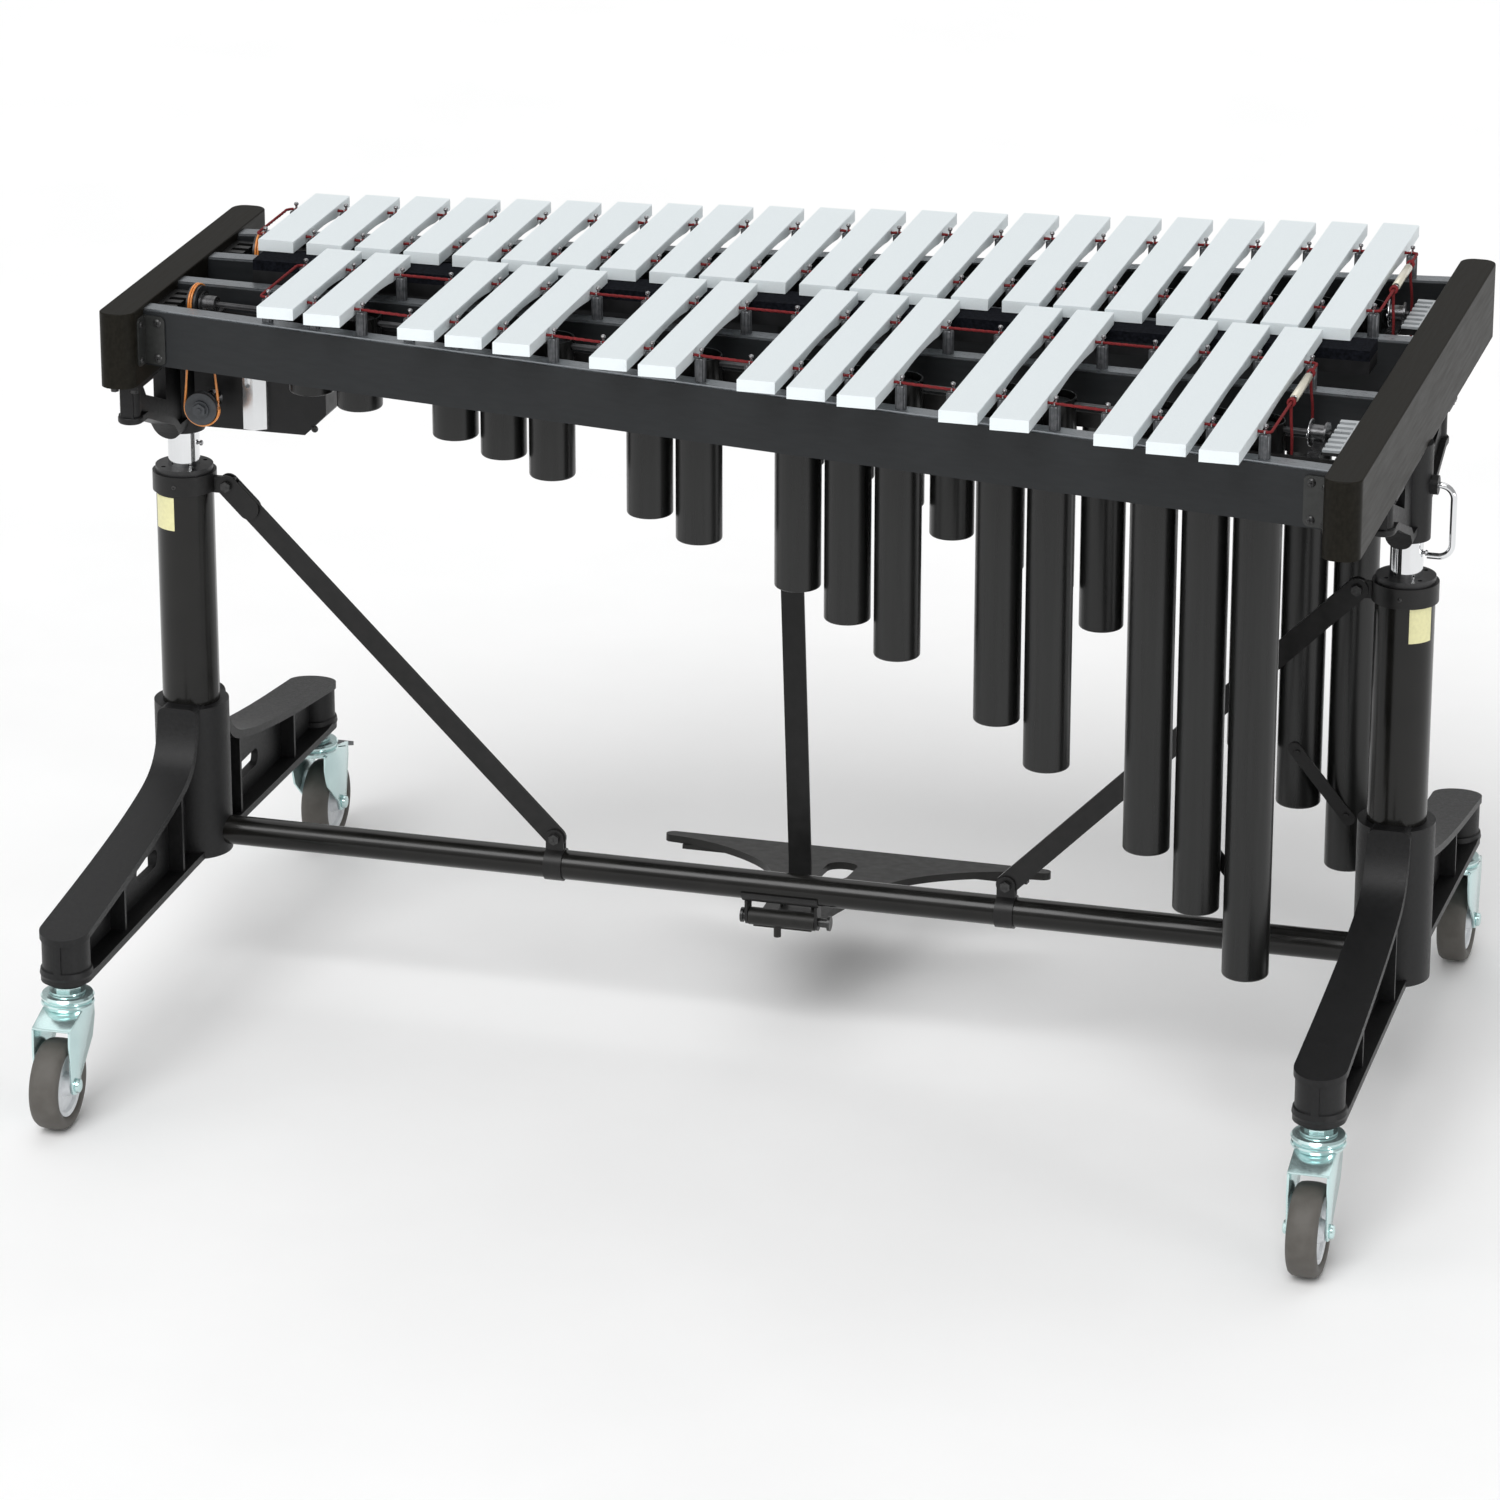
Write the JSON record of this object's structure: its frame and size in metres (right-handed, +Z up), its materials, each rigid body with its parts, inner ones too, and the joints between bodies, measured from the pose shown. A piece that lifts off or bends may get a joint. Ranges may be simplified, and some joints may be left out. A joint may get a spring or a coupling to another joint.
{
  "type": "vibraphone",
  "caption": "Motorised vibraphone on a height-adjustable stand with casters: tuned metal bars over tube resonators, spinning fans, damper pedal.",
  "frame": {"origin": "on the floor, midway between the two columns", "axes": "+X along the keyboard to the low notes, +Y to the player, +Z up"},
  "size_m": [1.4118, 0.956, 0.845],
  "materials": {
    "bar_alloy": "fine satin anodised silver",
    "belt_orange": "amber round belt",
    "black_cast": "textured matte black powder coat on castings",
    "black_rail": "satin charcoal coat",
    "black_steel": "gloss black",
    "block_black": "satin black lacquer",
    "box_black": "matte black sheet",
    "bracket_light": "bright slotted sheet",
    "brake_grey": "dark grey",
    "chrome": "polished",
    "cord_red": "braided cord",
    "damper_black": "matte black",
    "fan_steel": "dark grey",
    "felt": "navy black felt",
    "motor_steel": "motor can",
    "pedal_black": "textured black",
    "plastic_black": "moulded",
    "post_grey": "grey with bright pins",
    "pulley_black": "moulded",
    "rail_strip": "satin grey",
    "resonator_black": "satin black anodised",
    "satin_steel": "satin black",
    "screw_black": "black oxide",
    "spring_sleeve": "pale nickel",
    "strap_black": "matte black",
    "wheel": "grey tyre on light grey hub",
    "zinc": "bright zinc plate"
  },
  "bodies": {
    "base": {"left_leg": "black_cast", "right_leg": "black_cast", "crossbar": "black_steel", "column_tubes": "black_steel", "column_collars": "satin_steel", "column_guides": "plastic_black", "side_braces": "satin_steel", "crossbar_clamps": "satin_steel", "pivot_bolts": "screw_black", "pedal_bracket": "satin_steel", "gas_cylinders": "satin_steel", "caster_stems": "zinc"},
    "upper_frame": {"lift_tubes": "chrome", "left_yoke": "black_cast", "right_yoke": "black_cast", "left_end_block": "block_black", "right_end_block": "block_black", "front_rail": "black_rail", "back_rail": "black_rail", "inner_rails": "black_rail", "rail_strips": "rail_strip", "corner_brackets": "satin_steel", "frame_screws": "screw_black", "natural_bars_low": "bar_alloy", "natural_bars_high": "bar_alloy", "accidental_bars_low": "bar_alloy", "accidental_bars_high": "bar_alloy", "bar_posts": "post_grey", "suspension_cords": "cord_red", "cord_springs": "spring_sleeve", "cord_tails": "cord_red", "natural_resonators": "resonator_black", "accidental_resonators": "resonator_black", "bank_rails": "satin_steel", "motor_housing": "box_black", "drive_motor": "motor_steel", "motor_bracket": "bracket_light", "drive_belts": "belt_orange", "shaft_bearings": "satin_steel", "hanger_plates": "bracket_light", "mains_inlet": "plastic_black"},
    "pedal": {"pedal": "pedal_black"},
    "pull_strap": {"pull_strap": "strap_black"},
    "damper": {"damper_bar": "damper_black", "damper_felt": "felt"},
    "natural_fan": {"natural_fan_shaft": "fan_steel"},
    "accidental_fan": {"accidental_fan_shaft": "fan_steel"},
    "motor_rotor": {"motor_pulleys": "pulley_black"},
    "release_lever": {"release_lever": "chrome"},
    "speed_knob": {"speed_knob": "plastic_black"},
    "front_left_caster": {"front_left_caster_fork": "zinc"},
    "front_left_wheel": {"front_left_wheel": "wheel"},
    "back_left_caster": {"back_left_caster_fork": "zinc"},
    "back_left_wheel": {"back_left_wheel": "wheel"},
    "back_left_brake": {"back_left_brake_lever": "brake_grey"},
    "front_right_caster": {"front_right_caster_fork": "zinc"},
    "front_right_wheel": {"front_right_wheel": "wheel"},
    "back_right_caster": {"back_right_caster_fork": "zinc"},
    "back_right_wheel": {"back_right_wheel": "wheel"},
    "back_right_brake": {"back_right_brake_lever": "brake_grey"}
  },
  "joints": [
    {"name": "height_slide", "type": "slide", "parent": "base", "child": "upper_frame", "axis": [0, 0, 1], "range_m": [-0.015, 0.12]},
    {"name": "pedal_hinge", "type": "hinge", "parent": "base", "child": "pedal", "pos_m": [0.004, 0, 0.14], "axis": [-1, 0, 0], "range_deg": [0, 8], "stiffness_Nm_per_rad": 25, "springref_deg": -34.38},
    {"name": "strap_pull", "type": "slide", "parent": "base", "child": "pull_strap", "axis": [0, 0, -1], "range_m": [0, 0.0105]},
    {"name": "damper_drop", "type": "slide", "parent": "upper_frame", "child": "damper", "axis": [0, 0, -1], "range_m": [0, 0.0105]},
    {"name": "natural_fan_spin", "type": "hinge", "parent": "upper_frame", "child": "natural_fan", "pos_m": [-0.604, 0.10028, 0.804], "axis": [-0.9962, -0.0873, 0], "continuous": true},
    {"name": "accidental_fan_spin", "type": "hinge", "parent": "upper_frame", "child": "accidental_fan", "pos_m": [-0.604, -0.09649, 0.804], "axis": [-0.9953, 0.0966, 0], "continuous": true},
    {"name": "motor_spin", "type": "hinge", "parent": "upper_frame", "child": "motor_rotor", "pos_m": [-0.602, 0, 0.689], "axis": [0, 1, 0], "continuous": true},
    {"name": "height_lever", "type": "hinge", "parent": "upper_frame", "child": "release_lever", "pos_m": [0.68, 0, 0.69], "axis": [1, 0, 0], "range_deg": [0, 25], "stiffness_Nm_per_rad": 0.4},
    {"name": "speed_dial", "type": "hinge", "parent": "upper_frame", "child": "speed_knob", "pos_m": [-0.55, 0.06, 0.7], "axis": [0, 1, 0], "range_deg": [0, 270]},
    {"name": "front_left_swivel", "type": "hinge", "parent": "base", "child": "front_left_caster", "pos_m": [-0.661, -0.388, 0.13], "axis": [0, 0, 1], "continuous": true},
    {"name": "front_left_roll", "type": "hinge", "parent": "front_left_caster", "child": "front_left_wheel", "pos_m": [-0.661, -0.425, 0.048], "axis": [1, 0, 0], "continuous": true},
    {"name": "back_left_swivel", "type": "hinge", "parent": "base", "child": "back_left_caster", "pos_m": [-0.661, 0.388, 0.13], "axis": [0, 0, 1], "continuous": true},
    {"name": "back_left_roll", "type": "hinge", "parent": "back_left_caster", "child": "back_left_wheel", "pos_m": [-0.661, 0.425, 0.048], "axis": [1, 0, 0], "continuous": true},
    {"name": "back_left_brake_press", "type": "hinge", "parent": "back_left_caster", "child": "back_left_brake", "pos_m": [-0.661, 0.439, 0.107], "axis": [-1, 0, 0], "range_deg": [0, 15]},
    {"name": "front_right_swivel", "type": "hinge", "parent": "base", "child": "front_right_caster", "pos_m": [0.661, -0.388, 0.13], "axis": [0, 0, 1], "continuous": true},
    {"name": "front_right_roll", "type": "hinge", "parent": "front_right_caster", "child": "front_right_wheel", "pos_m": [0.661, -0.425, 0.048], "axis": [1, 0, 0], "continuous": true},
    {"name": "back_right_swivel", "type": "hinge", "parent": "base", "child": "back_right_caster", "pos_m": [0.661, 0.388, 0.13], "axis": [0, 0, 1], "continuous": true},
    {"name": "back_right_roll", "type": "hinge", "parent": "back_right_caster", "child": "back_right_wheel", "pos_m": [0.661, 0.425, 0.048], "axis": [1, 0, 0], "continuous": true},
    {"name": "back_right_brake_press", "type": "hinge", "parent": "back_right_caster", "child": "back_right_brake", "pos_m": [0.661, 0.439, 0.107], "axis": [-1, 0, 0], "range_deg": [0, 15]}
  ],
  "couplings": [
    {"joint": "strap_pull", "follows": "pedal_hinge", "m_per_rad": 0.07},
    {"joint": "damper_drop", "follows": "pedal_hinge", "m_per_rad": 0.07},
    {"joint": "accidental_fan_spin", "follows": "natural_fan_spin", "ratio": 1},
    {"joint": "motor_spin", "follows": "natural_fan_spin", "ratio": 1.0254}
  ]
}
